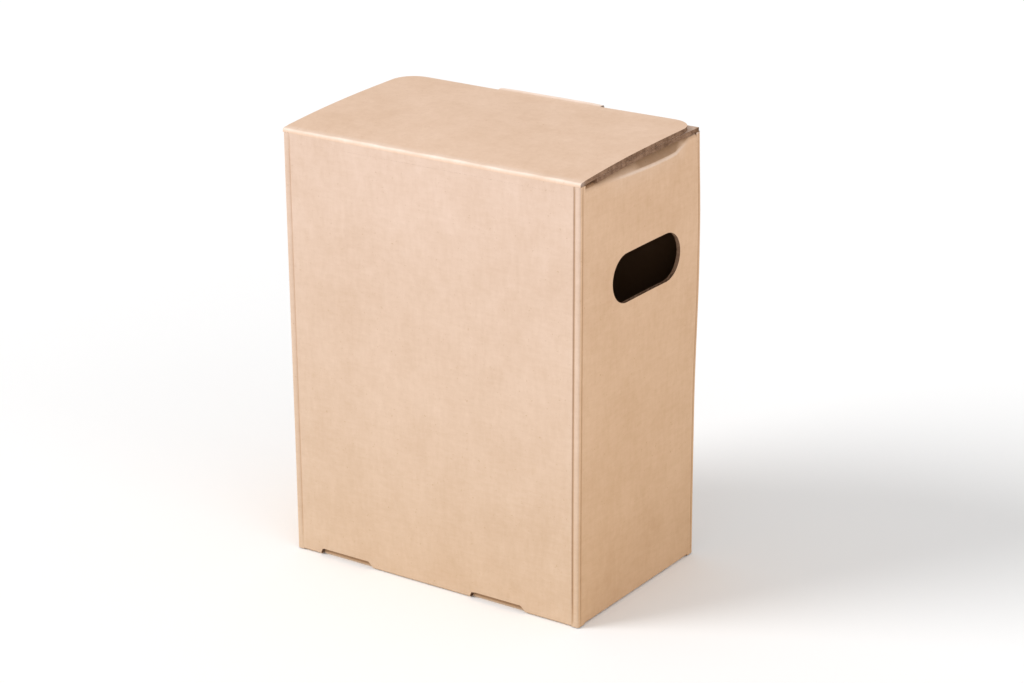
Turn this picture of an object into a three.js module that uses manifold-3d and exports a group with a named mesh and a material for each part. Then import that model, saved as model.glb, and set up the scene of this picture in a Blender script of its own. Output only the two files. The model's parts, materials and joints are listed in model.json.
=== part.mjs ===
// Bag in box carton: a tall carton folded from one sheet of corrugated board.
// The walls, the bottom flaps, the dust flaps and the rear flap are one folded solid.
// The lid flap is the second solid, because it swings about the front wall's top fold.
// Millimetres, +Z up, the wide front wall faces -Y. The origin is under the middle, on the floor.
import * as THREE from 'three';
import { mergeVertices } from 'three/addons/utils/BufferGeometryUtils.js';
import Module from 'manifold-3d';

const wasm = await Module();
wasm.setup();

// Overall size and board
const WIDTH = 250; // outside, across the wide front wall
const DEPTH = 155; // outside, front wall to rear wall
const FRONT_HEIGHT = 327; // floor to the top of the lid's front fold
const BOARD = 3; // thickness of the corrugated board
const CLEARANCE = 0.3; // between two layers that rest on each other

// Folds
const FOLD_RADIUS = 3.2; // outer radius of a square fold
const FOLD_STEPS = 4; // facets in one fold
const CORNER_END = 6; // raw length left at each end of a fold, beside the corner
const GROOVE_DEPTH = 0.5; // crushed line beside a corner fold
const WIDE_GROOVE_AT = 5.2; // its distance from the corner, on the wide walls
const WIDE_GROOVE_WIDTH = 3;
const NARROW_GROOVE_AT = 4.6; // the same, on the narrow walls
const NARROW_GROOVE_WIDTH = 1.8;
const CORNER_CUT = 0.6; // the raw ends of the corner folds stay this far above the floor

// Fluting, open to view at the cut edges
const FLUTE_PITCH = 5.3;
const LINER = 0.45; // thickness of each outer paper
const MEDIUM = 0.35; // thickness of the wavy paper between them
const FLUTE_REVEAL = 4; // how deep an open flute is modelled
const EDGE_GROOVE = 1.2; // width of the half flute seen along an edge cut parallel to the flutes
const EDGE_GROOVE_DEPTH = 1;

// Top layers
const DUST_FLAP_DROP = 1.7; // from the top of the lid's fold down to the dust flaps' top face
const DUST_FLAP_REACH = 70; // from the narrow wall's outer face to the flap's free end
const DUST_FLAP_DROOP = 3.3; // how far the flaps hang down at the front
const SOFT_FOLD_DROP = 8.8; // height of the wide, soft roll along the dust flap's fold
const TIGHT_FOLD_DROP = 2.2; // its height where the corners pull it tight
const SOFT_FOLD_FRONT_RUN = 100; // length over which the roll opens out, from the front
const SOFT_FOLD_REAR_START = 37; // where it starts to close again, from the rear face
const SOFT_FOLD_REAR_END = 12; // where it is tight again, from the rear face
const REAR_FLAP_FRONT_GAP = 20; // from the front face to the rear flap's free edge
const LID_RUN = 110; // length over which the lid climbs to its level

// Lid flap and its tongue
const LID_REAR_GAP = 5.5; // from the rear face to the lid's cut edge
const LID_CORNER_RADIUS = 18;
const TONGUE_CENTRE = 1; // across the width
const TONGUE_WIDTH = 88;
const TONGUE_TIP_WIDTH = 72;
const TONGUE_ROOT = 14; // from the rear face to where the tongue starts to arch
const TONGUE_ARCH = 1.5; // how far the tongue's back stands above the lid
const TONGUE_FOLD_RADIUS = 4.5;
const TONGUE_LENGTH = 21; // below the lid's top face
const TONGUE_TIP_RADIUS = 9;
const SLOT_DEPTH = 9; // of the tongue's slot, from the rear face
const SLOT_DROP = 13.9; // from the lid's top face down to the slot's lower edge
const SLOT_PLAY = 2; // slot beyond each side of the tongue
const TONGUE_PLAY = 2; // between the tongue and the rear wall's inner face

// Hand holes
const HOLE_LENGTH = 87;
const HOLE_HEIGHT = 36;
const HOLE_CENTRE_FROM_FRONT = 83.5;
const HOLE_CENTRE_DROP = 82; // from the top of the lid's fold

// Joint strip: the left wall's end, glued inside the rear wall
const JOINT_STRIP_WIDTH = 32;
const JOINT_STRIP_END_GAP = 16; // from the floor and from the rear flap's level

// Tap opening in the rear wall: a round push-out panel held by nicks
const TAP_RADIUS = 21;
const TAP_CENTRE_HEIGHT = 42;
const TAP_SLIT = 0.8; // width of the cut
const TAP_NICKS = 8;
const TAP_NICK = 2.4; // board left between two cuts

// Bottom flaps and their locks
const SIDE_FLAP_REACH = 70;
const FRONT_FLAP_REACH = 80;
const SIDE_RAMP = 20; // length over which a side flap climbs above the two flaps under it
const FRONT_RAMP = 16; // the same for the front flap, above the locking flap
const SIDE_FLAP_END_GAP = 8; // from the front and rear faces to a side flap's ends
const FRONT_FLAP_HALF_WIDTH = 102;
const LOCK_FLAP_HALF_WIDTH = 111;
const LOCK_FLAP_FRONT_GAP = 18; // from the front face to the locking flap's free edge
const TAB_CENTRES = [-79.4, 55.6]; // across the width
const SLOT_WIDTH = 47.2; // of a locking slot, at the floor
const SLOT_HEIGHT = 5.2;
const SLOT_INSETS = [3, 4]; // how far its left and right ends lean in at the top
const TAB_WIDTH = 43;
const TAB_TIP_WIDTH = 35;
const TAB_HEIGHT = 18; // how far a tab stands up behind the front wall

// Places worked out from the sizes above
const SIDE = WIDTH / 2;
const FRONT = -DEPTH / 2;
const REAR = DEPTH / 2;
const FLAP_STEP = BOARD + CLEARANCE;
const DUST_FLAP_LEVEL = FRONT_HEIGHT - DUST_FLAP_DROP;
const REAR_FLAP_LEVEL = DUST_FLAP_LEVEL + FLAP_STEP;
const LID_LEVEL = REAR_FLAP_LEVEL + FLAP_STEP;
const LID_CLIMB = LID_LEVEL - FRONT_HEIGHT;
const LID_REAR = REAR - LID_REAR_GAP;
const TONGUE_TIP = LID_LEVEL - TONGUE_LENGTH;
const HOLE_CENTRE_HEIGHT = FRONT_HEIGHT - HOLE_CENTRE_DROP;
const FLUTE_ROOM = BOARD - 2 * LINER - MEDIUM; // height of one open flute
const WALL_SPLICE = 6; // overlap in which a folded strip and the walls are the same board
const PAST = 5; // how far a cutting shape reaches past what it cuts

// How far a layer on top of the box hangs below its level, at a place in the depth
function sag(y) {
  const t = Math.min(1, (y - FRONT) / LID_RUN);
  return LID_CLIMB * (1 - t) ** 2;
}

// Solid helpers

function toSolid(geometry) {
  const bare = geometry.clone();
  bare.deleteAttribute('normal');
  bare.deleteAttribute('uv');
  bare.clearGroups();
  const merged = mergeVertices(bare, 1e-4);
  const mesh = new wasm.Mesh({
    numProp: 3,
    vertProperties: new Float32Array(merged.attributes.position.array),
    triVerts: new Uint32Array(merged.index.array),
  });
  return new wasm.Manifold(mesh);
}

function toGeometry(solid) {
  const { vertProperties, triVerts } = solid.getMesh();
  const geometry = new THREE.BufferGeometry();
  geometry.setAttribute('position', new THREE.BufferAttribute(new Float32Array(vertProperties), 3));
  geometry.setIndex(new THREE.BufferAttribute(new Uint32Array(triVerts), 1));
  return geometry;
}

function join(...solids) {
  return solids.reduce((whole, solid) => whole.add(solid));
}

function cut(solid, ...tools) {
  return tools.reduce((rest, tool) => rest.subtract(tool), solid);
}

// An upright prism: the shape is a plan, drawn in X and Y
function prism(shape, low, high) {
  const geometry = new THREE.ExtrudeGeometry(shape, { depth: high - low, bevelEnabled: false, curveSegments: 12 });
  return toSolid(geometry.translate(0, 0, low));
}

// A prism along X: the shape is drawn in Y and Z
function prismAlongX(shape, low, high) {
  const geometry = new THREE.ExtrudeGeometry(shape, { depth: high - low, bevelEnabled: false, curveSegments: 12 });
  const turn = new THREE.Matrix4().makeBasis(
    new THREE.Vector3(0, 1, 0), new THREE.Vector3(0, 0, 1), new THREE.Vector3(1, 0, 0));
  return toSolid(geometry.applyMatrix4(turn).translate(low, 0, 0));
}

// A prism along Y: the shape is drawn in X and Z
function prismAlongY(shape, low, high, curveSegments = 12) {
  const geometry = new THREE.ExtrudeGeometry(shape, { depth: high - low, bevelEnabled: false, curveSegments });
  const turn = new THREE.Matrix4().makeBasis(
    new THREE.Vector3(1, 0, 0), new THREE.Vector3(0, 0, 1), new THREE.Vector3(0, -1, 0));
  return toSolid(geometry.applyMatrix4(turn).translate(0, high, 0));
}

function block(low, high) {
  const size = high.map((value, i) => value - low[i]);
  const middle = high.map((value, i) => (value + low[i]) / 2);
  return toSolid(new THREE.BoxGeometry(...size).translate(...middle));
}

function polygon(points) {
  return new THREE.Shape(points.map(([a, b]) => new THREE.Vector2(a, b)));
}

// Folded board
// A fold path runs along the board's outer face, with the inside of the box on its right.
// Each corner is [a, z, radius]; a corner with a radius becomes a round fold.
function foldPath(corners) {
  const at = corners.map(([a, z]) => new THREE.Vector2(a, z));
  const points = [];
  corners.forEach(([, , radius = 0], i) => {
    if (!radius) {
      points.push(at[i]);
      return;
    }
    const arriving = at[i].clone().sub(at[i - 1]).normalize();
    const leaving = at[i + 1].clone().sub(at[i]).normalize();
    const turn = Math.atan2(arriving.cross(leaving), arriving.dot(leaving));
    const start = at[i].clone().addScaledVector(arriving, -radius * Math.tan(Math.abs(turn) / 2));
    const towards = new THREE.Vector2(-arriving.y, arriving.x).multiplyScalar(Math.sign(turn) * radius);
    const centre = start.clone().add(towards);
    for (let k = 0; k <= FOLD_STEPS; k++) {
      points.push(start.clone().rotateAround(centre, (turn * k) / FOLD_STEPS));
    }
  });
  return points;
}

// A face inside the board, at a depth to the right of its outer face
function faceAtDepth(outer, depth) {
  const rightOf = (from, to) => new THREE.Vector2(to.y - from.y, from.x - to.x).normalize();
  return outer.map((point, i) => {
    const before = rightOf(outer[Math.max(i - 1, 0)], outer[Math.max(i, 1)]);
    const last = outer.length - 1;
    const after = rightOf(outer[Math.min(i, last - 1)], outer[Math.min(i + 1, last)]);
    const middle = before.clone().add(after).normalize();
    return point.clone().addScaledVector(middle, depth / middle.dot(before));
  });
}

// A strip of board with its folds, swept through stations along 'x' or 'y'.
// pathAt gives the fold path at a station; all stations have equally many points.
// The strip fills the board from one depth to another, the whole board where none is given.
function foldedStrip(axis, stations, pathAt, [from, to] = [0, BOARD]) {
  const positions = [];
  const index = [];
  const sections = stations.map((station) => {
    const outer = foldPath(pathAt(station));
    return [...faceAtDepth(outer, from), ...faceAtDepth(outer, to).reverse()];
  });
  const count = sections[0].length;
  sections.forEach((section, k) => section.forEach((point) => {
    const place = axis === 'x' ? [stations[k], point.x, point.y] : [point.x, stations[k], point.y];
    positions.push(...place);
  }));
  const quad = (a, b, c, d) => index.push(a, b, c, a, c, d);
  for (let k = 0; k + 1 < stations.length; k++) {
    for (let i = 0; i < count; i++) {
      const next = (i + 1) % count;
      quad(k * count + i, (k + 1) * count + i, (k + 1) * count + next, k * count + next);
    }
  }
  const end = (stations.length - 1) * count;
  for (let i = 0; i + 1 < count / 2; i++) {
    const across = count - 1 - i;
    quad(i, i + 1, across - 1, across);
    quad(end + across, end + across - 1, end + i + 1, end + i);
  }
  if (axis === 'y') {
    index.reverse();
  }
  const geometry = new THREE.BufferGeometry();
  geometry.setAttribute('position', new THREE.Float32BufferAttribute(positions, 3));
  geometry.setIndex(index);
  return toSolid(geometry);
}

function spread(low, high, steps) {
  return Array.from({ length: steps + 1 }, (_, k) => low + ((high - low) * k) / steps);
}

// A straight strip across the width between two places
function stripAcross(low, high, corners, depths) {
  return foldedStrip('x', [low, high], () => corners, depths);
}

// The half flutes seen along both side edges of a strip whose flutes run front to rear
function sideGrooves(corners) {
  const depths = [(BOARD - EDGE_GROOVE) / 2, (BOARD + EDGE_GROOVE) / 2];
  const groove = stripAcross(SIDE - EDGE_GROOVE_DEPTH, SIDE + PAST, corners, depths);
  return join(groove, mirrored(groove));
}

// One open flute: a wavy paper arches over it from one liner. Drawn in [along the edge, into the board].
const FLUTE_ARCH = [[-0.4, 0], [0.4, 0], [0.26, 0.5], [0.11, 0.93], [-0.11, 0.93], [-0.26, 0.5]];

function flutePocket(along, fromOuter) {
  return FLUTE_ARCH.map(([a, d]) => [
    along + a * FLUTE_PITCH,
    fromOuter ? LINER + d * FLUTE_ROOM : BOARD - LINER - d * FLUTE_ROOM,
  ]);
}

// Places of the flutes along an edge, alternately arching from the outer and the inner liner
function fluteRow(low, high) {
  const step = FLUTE_PITCH / 2;
  const count = Math.floor((high - low) / step);
  const start = (low + high - count * step) / 2;
  return Array.from({ length: count + 1 }, (_, k) => ({ along: start + k * step, fromOuter: k % 2 === 0 }));
}

function mirrored(solid) {
  return solid.mirror([1, 0, 0]);
}

// The four walls: a tube with round corner folds and a crushed line on each side of a fold
function wallOutline() {
  const points = [];
  const quarter = [[1, 1], [-1, 1], [-1, -1], [1, -1]];
  quarter.forEach(([sx, sy], n) => {
    const corner = [
      [0, NARROW_GROOVE_AT + NARROW_GROOVE_WIDTH / 2],
      [GROOVE_DEPTH, NARROW_GROOVE_AT],
      [0, NARROW_GROOVE_AT - NARROW_GROOVE_WIDTH / 2],
      ...spread(0, Math.PI / 2, FOLD_STEPS).map((t) => [
        FOLD_RADIUS * (1 - Math.cos(t)), FOLD_RADIUS * (1 - Math.sin(t))]),
      [WIDE_GROOVE_AT - WIDE_GROOVE_WIDTH / 2, 0],
      [WIDE_GROOVE_AT, GROOVE_DEPTH],
      [WIDE_GROOVE_AT + WIDE_GROOVE_WIDTH / 2, 0],
    ];
    const ordered = n % 2 ? corner.reverse() : corner;
    ordered.forEach(([dx, dy]) => points.push([sx * (SIDE - dx), sy * (REAR - dy)]));
  });
  return polygon(points);
}

function walls() {
  const inX = SIDE - BOARD;
  const inY = REAR - BOARD;
  const outline = wallOutline();
  outline.holes.push(new THREE.Path([
    new THREE.Vector2(-inX, -inY), new THREE.Vector2(inX, -inY),
    new THREE.Vector2(inX, inY), new THREE.Vector2(-inX, inY),
  ]));
  const tube = prism(outline, CORNER_CUT, DUST_FLAP_LEVEL);
  const foldX = SIDE - CORNER_END;
  const foldY = REAR - CORNER_END;
  const bottomY = REAR - SIDE_FLAP_END_GAP;
  const low = -PAST;
  const high = DUST_FLAP_LEVEL + PAST;
  const overFolds = FOLD_RADIUS + CLEARANCE;
  const underLid = FRONT_HEIGHT - BOARD - CLEARANCE;
  const sideTop = DUST_FLAP_LEVEL - SOFT_FOLD_DROP - FOLD_RADIUS;
  return cut(tube,
    block([-SIDE - PAST, FRONT - PAST, underLid], [SIDE + PAST, -foldY + CLEARANCE, high]),
    block([-foldX, FRONT - PAST, low], [foldX, FRONT + BOARD + 1, overFolds]),
    block([-foldX, REAR - BOARD - 1, low], [foldX, REAR + PAST, overFolds]),
    block([-foldX, REAR - BOARD - 1, REAR_FLAP_LEVEL - FOLD_RADIUS - CLEARANCE], [foldX, REAR + PAST, high]),
    block([-SIDE - PAST, -bottomY, low], [-SIDE + BOARD + 1, bottomY, overFolds + 1]),
    block([SIDE - BOARD - 1, -bottomY, low], [SIDE + PAST, bottomY, overFolds + 1]),
    block([-SIDE - PAST, -foldY, sideTop], [-SIDE + BOARD + 1, foldY, high]),
    block([SIDE - BOARD - 1, -foldY, sideTop], [SIDE + PAST, foldY, high]));
}

// The right dust flap. Its fold is a soft roll in the middle and tight near both corners.
function foldDrop(y) {
  const fromFront = THREE.MathUtils.smoothstep(y, FRONT, FRONT + SOFT_FOLD_FRONT_RUN);
  const fromRear = THREE.MathUtils.smoothstep(-y, -(REAR - SOFT_FOLD_REAR_END), -(REAR - SOFT_FOLD_REAR_START));
  return TIGHT_FOLD_DROP + (SOFT_FOLD_DROP - TIGHT_FOLD_DROP) * fromFront * fromRear;
}

function dustFlap() {
  const foldY = REAR - CORNER_END;
  const base = DUST_FLAP_LEVEL - SOFT_FOLD_DROP - FOLD_RADIUS - WALL_SPLICE;
  const strip = foldedStrip('y', spread(-foldY, foldY, 16), (y) => {
    const level = DUST_FLAP_LEVEL - Math.min(sag(y), DUST_FLAP_DROOP);
    const drop = foldDrop(y);
    return [
      [SIDE - DUST_FLAP_REACH, level],
      [SIDE - drop, level, FOLD_RADIUS],
      [SIDE, level - drop, FOLD_RADIUS],
      [SIDE, base],
    ];
  });
  return strip;
}

// The rear flap: it lies on the dust flaps, under the lid
function rearFlap() {
  const free = FRONT + REAR_FLAP_FRONT_GAP;
  const level = REAR_FLAP_LEVEL;
  const curved = spread(free, FRONT + LID_RUN, 8).map((y) => [y, level - sag(y)]);
  const foldX = SIDE - CORNER_END;
  const wall = level - FOLD_RADIUS - CLEARANCE - WALL_SPLICE;
  const fold = stripAcross(-foldX, foldX, [...curved, [REAR, level, FOLD_RADIUS], [REAR, wall]]);
  const sheet = [...curved, [REAR - CLEARANCE, level]];
  const flap = cut(stripAcross(-SIDE, SIDE, sheet), sideGrooves([...curved, [REAR - BOARD, level]]));
  return join(flap, fold);
}

// The bottom: two side flaps inside, the front flap under them, the locking flap outside
function sideBottomFlap() {
  const level = 2 * FLAP_STEP;
  const endY = REAR - SIDE_FLAP_END_GAP;
  const splice = FOLD_RADIUS + WALL_SPLICE;
  return foldedStrip('y', [-endY, endY], () => [
    [SIDE, splice],
    [SIDE, 0, FOLD_RADIUS],
    [SIDE - SIDE_RAMP, level, FOLD_RADIUS],
    [SIDE - SIDE_FLAP_REACH, level],
  ]);
}

// Plan of a flap that is as wide as its fold at the wall and narrower inside the box
function flapPlan(foldY, halfWidth, freeY) {
  const inward = Math.sign(freeY - foldY);
  const wide = SIDE - CORNER_END;
  const shoulder = foldY + inward * (BOARD + 1);
  const neck = foldY + inward * (SIDE_FLAP_END_GAP - CLEARANCE);
  const outside = foldY - inward * PAST;
  const half = [[wide, outside], [wide, shoulder], [halfWidth, neck], [halfWidth, freeY]];
  return polygon([...half, ...half.map(([x, y]) => [-x, y]).reverse()]);
}

function frontBottomFlap() {
  const foldX = SIDE - CORNER_END;
  const level = FLAP_STEP;
  const free = FRONT + FRONT_FLAP_REACH;
  const strip = stripAcross(-foldX, foldX, [
    [free, level],
    [FRONT + FRONT_RAMP, level, FOLD_RADIUS],
    [FRONT, 0, FOLD_RADIUS],
    [FRONT, FOLD_RADIUS + WALL_SPLICE],
  ]);
  return strip.intersect(prism(flapPlan(FRONT, FRONT_FLAP_HALF_WIDTH, free), -PAST, FRONT_HEIGHT));
}

function lockFlap() {
  const foldX = SIDE - CORNER_END;
  const free = FRONT + LOCK_FLAP_FRONT_GAP;
  const strip = stripAcross(-foldX, foldX, [
    [REAR, FOLD_RADIUS + WALL_SPLICE],
    [REAR, 0, FOLD_RADIUS],
    [free, 0],
  ]);
  return strip.intersect(prism(flapPlan(REAR, LOCK_FLAP_HALF_WIDTH, free), -PAST, FRONT_HEIGHT));
}

// A locking tab: it reaches forward from the locking flap and stands up behind the front wall
function lockTab(centre) {
  const back = FRONT + BOARD + CLEARANCE;
  const strip = stripAcross(centre - TAB_WIDTH / 2, centre + TAB_WIDTH / 2, [
    [FRONT + LOCK_FLAP_FRONT_GAP + WALL_SPLICE, 0],
    [back, 0, FOLD_RADIUS],
    [back, TAB_HEIGHT],
  ]);
  const half = [[TAB_WIDTH / 2, -PAST], [TAB_WIDTH / 2, FOLD_RADIUS], [TAB_TIP_WIDTH / 2, TAB_HEIGHT + 1]];
  const front = polygon([...half, ...half.map(([x, z]) => [-x, z]).reverse()]);
  const trim = prismAlongY(front, FRONT, FRONT + LOCK_FLAP_FRONT_GAP + WALL_SPLICE + PAST);
  return strip.intersect(trim.translate([centre, 0, 0]));
}

// The slot for a locking tab: seen from the front its upper corners lean in
function lockSlot(centre) {
  const left = centre - SLOT_WIDTH / 2;
  const right = centre + SLOT_WIDTH / 2;
  const shape = new THREE.Shape();
  shape.moveTo(left, -PAST);
  shape.lineTo(right, -PAST);
  shape.lineTo(right, CORNER_CUT);
  shape.lineTo(right - SLOT_INSETS[1], SLOT_HEIGHT);
  shape.lineTo(left + SLOT_INSETS[0], SLOT_HEIGHT);
  shape.quadraticCurveTo(left, SLOT_HEIGHT, left, CORNER_CUT);
  const behind = LOCK_FLAP_FRONT_GAP + CLEARANCE;
  return join(
    prismAlongY(shape, FRONT - PAST, FRONT + BOARD + CLEARANCE),
    block([left, FRONT + BOARD, -PAST], [right, FRONT + behind, 2 * FLAP_STEP + BOARD]));
}

// Both hand holes, cut in one line through the narrow walls
function handHoles() {
  const radius = HOLE_HEIGHT / 2;
  const half = HOLE_LENGTH / 2 - radius;
  const middle = FRONT + HOLE_CENTRE_FROM_FRONT;
  const shape = new THREE.Shape();
  shape.absarc(middle + half, HOLE_CENTRE_HEIGHT, radius, -Math.PI / 2, Math.PI / 2);
  shape.absarc(middle - half, HOLE_CENTRE_HEIGHT, radius, Math.PI / 2, (3 * Math.PI) / 2);
  return prismAlongX(shape, -SIDE - PAST, SIDE + PAST);
}

// Open flutes above and below a hand hole, in the right wall; the left wall's are their mirror image
function holeFlutes() {
  const radius = HOLE_HEIGHT / 2;
  const half = HOLE_LENGTH / 2 - radius;
  const middle = FRONT + HOLE_CENTRE_FROM_FRONT;
  const reach = HOLE_LENGTH / 2 - FLUTE_PITCH;
  const pockets = fluteRow(middle - reach, middle + reach).map(({ along, fromOuter }) => {
    const out = Math.max(0, Math.abs(along - middle) + FLUTE_PITCH / 2 - half);
    const height = Math.sqrt(Math.max(0, radius ** 2 - out ** 2)) + FLUTE_REVEAL;
    const plan = polygon(flutePocket(along, fromOuter).map(([y, depth]) => [SIDE - depth, y]));
    return prism(plan, HOLE_CENTRE_HEIGHT - height, HOLE_CENTRE_HEIGHT + height);
  });
  return join(...pockets);
}

// Cuts round the tap's push-out panel, through the rear wall
function tapSlits() {
  const sweep = (2 * Math.PI) / TAP_NICKS;
  const nick = TAP_NICK / TAP_RADIUS;
  const slits = Array.from({ length: TAP_NICKS }, (_, k) => {
    const start = k * sweep + nick / 2;
    const stop = (k + 1) * sweep - nick / 2;
    const shape = new THREE.Shape();
    shape.absarc(0, 0, TAP_RADIUS + TAP_SLIT / 2, start, stop);
    shape.absarc(0, 0, TAP_RADIUS - TAP_SLIT / 2, stop, start, true);
    return prismAlongY(shape, REAR - BOARD - CLEARANCE, REAR + PAST, 5);
  });
  return join(...slits).translate([0, 0, TAP_CENTRE_HEIGHT]);
}

// The joint strip, glued flat inside the rear wall beside the left corner
function jointStrip() {
  const left = -SIDE + BOARD / 2;
  const right = -SIDE + BOARD + JOINT_STRIP_WIDTH;
  const near = REAR - 2 * BOARD;
  const far = REAR - BOARD / 2;
  const low = JOINT_STRIP_END_GAP;
  const high = REAR_FLAP_LEVEL - JOINT_STRIP_END_GAP;
  return block([left, near, low], [right, far, high]);
}

// The slot that the lid's tongue goes down into, cut out of the rear fold
function tongueSlot() {
  const half = TONGUE_WIDTH / 2 + SLOT_PLAY;
  return block(
    [TONGUE_CENTRE - half, REAR - SLOT_DEPTH, LID_LEVEL - SLOT_DROP],
    [TONGUE_CENTRE + half, REAR + PAST, LID_LEVEL + PAST]);
}

function cartonBody() {
  const dust = dustFlap();
  const bottomSide = sideBottomFlap();
  const flutes = holeFlutes();
  const shell = join(walls(), jointStrip(), dust, mirrored(dust), rearFlap(), bottomSide, mirrored(bottomSide));
  const opened = cut(shell, handHoles(), flutes, mirrored(flutes), tongueSlot(), tapSlits());
  const front = cut(join(opened, frontBottomFlap()), ...TAB_CENTRES.map(lockSlot));
  return join(front, lockFlap(), ...TAB_CENTRES.map(lockTab));
}

// The lid: a sheet that climbs from its fold, with round rear corners and a tongue
function lidSheet() {
  const climb = spread(FRONT + 2 * FOLD_RADIUS, FRONT + LID_RUN, 10).map((y) => [y, LID_LEVEL - sag(y)]);
  const sheet = [
    [FRONT, FRONT_HEIGHT - 2 * PAST],
    [FRONT, FRONT_HEIGHT, FOLD_RADIUS],
    ...climb,
    [LID_REAR, LID_LEVEL],
  ];
  const strip = cut(stripAcross(-SIDE, SIDE, sheet), sideGrooves([...climb, [LID_REAR, LID_LEVEL]]));
  const radius = LID_CORNER_RADIUS;
  const plan = new THREE.Shape();
  plan.moveTo(-SIDE, FRONT - PAST);
  plan.lineTo(SIDE, FRONT - PAST);
  plan.absarc(SIDE - radius, LID_REAR - radius, radius, 0, Math.PI / 2);
  plan.absarc(-SIDE + radius, LID_REAR - radius, radius, Math.PI / 2, Math.PI);
  const low = FRONT_HEIGHT - BOARD;
  return strip.intersect(prism(plan, low, LID_LEVEL + PAST));
}

// Open flutes in the lid's rear edge, on both sides of the tongue
function lidFlutes() {
  const straight = SIDE - LID_CORNER_RADIUS;
  const pocketsBetween = (low, high) => fluteRow(low, high).map(({ along, fromOuter }) => {
    const out = Math.max(0, Math.abs(along) + FLUTE_PITCH / 2 - straight);
    const setBack = LID_CORNER_RADIUS - Math.sqrt(Math.max(0, LID_CORNER_RADIUS ** 2 - out ** 2));
    const front = polygon(flutePocket(along, fromOuter).map(([x, depth]) => [x, LID_LEVEL - depth]));
    return prismAlongY(front, LID_REAR - setBack - FLUTE_REVEAL, LID_REAR + PAST);
  });
  const tongueLeft = TONGUE_CENTRE - TONGUE_WIDTH / 2 - FLUTE_PITCH / 2;
  const tongueRight = TONGUE_CENTRE + TONGUE_WIDTH / 2 + FLUTE_PITCH / 2;
  const reach = SIDE - FLUTE_PITCH;
  return join(...pocketsBetween(-reach, tongueLeft), ...pocketsBetween(tongueRight, reach));
}

function tongue() {
  const half = TONGUE_WIDTH / 2;
  const inside = REAR - BOARD - TONGUE_PLAY;
  const bend = [REAR + 1.2 * TONGUE_ARCH, LID_LEVEL + 1.6 * TONGUE_ARCH];
  const strip = stripAcross(TONGUE_CENTRE - half, TONGUE_CENTRE + half, [
    [REAR - TONGUE_ROOT - WALL_SPLICE, LID_LEVEL],
    [REAR - TONGUE_ROOT, LID_LEVEL],
    [...bend, TONGUE_FOLD_RADIUS],
    [inside, LID_LEVEL - SLOT_DROP, FOLD_RADIUS],
    [inside, TONGUE_TIP],
  ]);
  const tip = TONGUE_TIP_WIDTH / 2;
  const front = new THREE.Shape();
  front.moveTo(half, LID_LEVEL + PAST);
  front.lineTo(-half, LID_LEVEL + PAST);
  front.lineTo(-half, LID_LEVEL - SLOT_DROP / 2);
  front.lineTo(-tip, TONGUE_TIP + TONGUE_TIP_RADIUS);
  front.quadraticCurveTo(-tip, TONGUE_TIP, -tip + TONGUE_TIP_RADIUS, TONGUE_TIP);
  front.lineTo(tip - TONGUE_TIP_RADIUS, TONGUE_TIP);
  front.quadraticCurveTo(tip, TONGUE_TIP, tip, TONGUE_TIP + TONGUE_TIP_RADIUS);
  front.lineTo(half, LID_LEVEL - SLOT_DROP / 2);
  const trim = prismAlongY(front, REAR - TONGUE_ROOT - WALL_SPLICE - PAST, REAR + PAST);
  return strip.intersect(trim.translate([TONGUE_CENTRE, 0, 0]));
}

// The finished carton
const kraftBoard = new THREE.MeshStandardMaterial({ color: 0xdcb994, roughness: 0.86, metalness: 0, flatShading: true });
const kraftLid = new THREE.MeshStandardMaterial({ color: 0xe5c6ac, roughness: 0.86, metalness: 0, flatShading: true });

function piece(name, solid, material) {
  const mesh = new THREE.Mesh(toGeometry(solid), material);
  mesh.name = name;
  return mesh;
}

const carton = new THREE.Group();
carton.add(
  piece('carton_body', cartonBody(), kraftBoard),
  piece('lid_flap', join(cut(lidSheet(), lidFlutes()), tongue()), kraftLid),
);

export default carton;
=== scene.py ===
# %% [markdown]
# A bag in box carton, folded from one sheet of brown corrugated board.
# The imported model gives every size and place. This file gives the looks: soft folds,
# walls that bulge a little, open fluting at the cuts, and kraft paper all over.
# Everything is in metres, with the carton standing on the floor at the origin.

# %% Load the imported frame
import math
import json

import bpy
import bmesh
from mathutils import Matrix, Vector


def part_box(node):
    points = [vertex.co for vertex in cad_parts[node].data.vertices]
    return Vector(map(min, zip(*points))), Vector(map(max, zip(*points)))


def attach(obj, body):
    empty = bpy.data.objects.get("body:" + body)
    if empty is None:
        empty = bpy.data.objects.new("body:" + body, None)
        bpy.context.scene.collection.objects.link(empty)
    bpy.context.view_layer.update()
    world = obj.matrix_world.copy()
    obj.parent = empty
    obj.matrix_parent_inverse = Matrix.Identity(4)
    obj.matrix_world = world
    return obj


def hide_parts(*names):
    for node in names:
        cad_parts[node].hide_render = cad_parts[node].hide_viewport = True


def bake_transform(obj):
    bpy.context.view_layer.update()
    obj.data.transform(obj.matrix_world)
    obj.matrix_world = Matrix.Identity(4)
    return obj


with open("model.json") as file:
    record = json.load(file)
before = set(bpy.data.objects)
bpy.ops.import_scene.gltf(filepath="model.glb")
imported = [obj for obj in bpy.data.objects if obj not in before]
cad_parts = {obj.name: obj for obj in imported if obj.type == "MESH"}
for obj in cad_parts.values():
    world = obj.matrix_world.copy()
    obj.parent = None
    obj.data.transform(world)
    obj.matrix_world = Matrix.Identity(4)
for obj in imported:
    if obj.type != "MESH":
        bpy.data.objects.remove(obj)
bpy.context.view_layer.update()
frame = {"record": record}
MM = 0.001
low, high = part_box("carton_body")
SIDE = high[0]
REAR = high[1]
FRONT = low[1]
REAR_FLAP_TOP = high[2]
FRONT_HEIGHT = frame["record"]["behaviour"]["joints"][0]["pos_m"][2]
print("carton", [round(v / MM, 1) for v in (2 * SIDE, 2 * REAR, FRONT_HEIGHT)], "mm")

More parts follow.
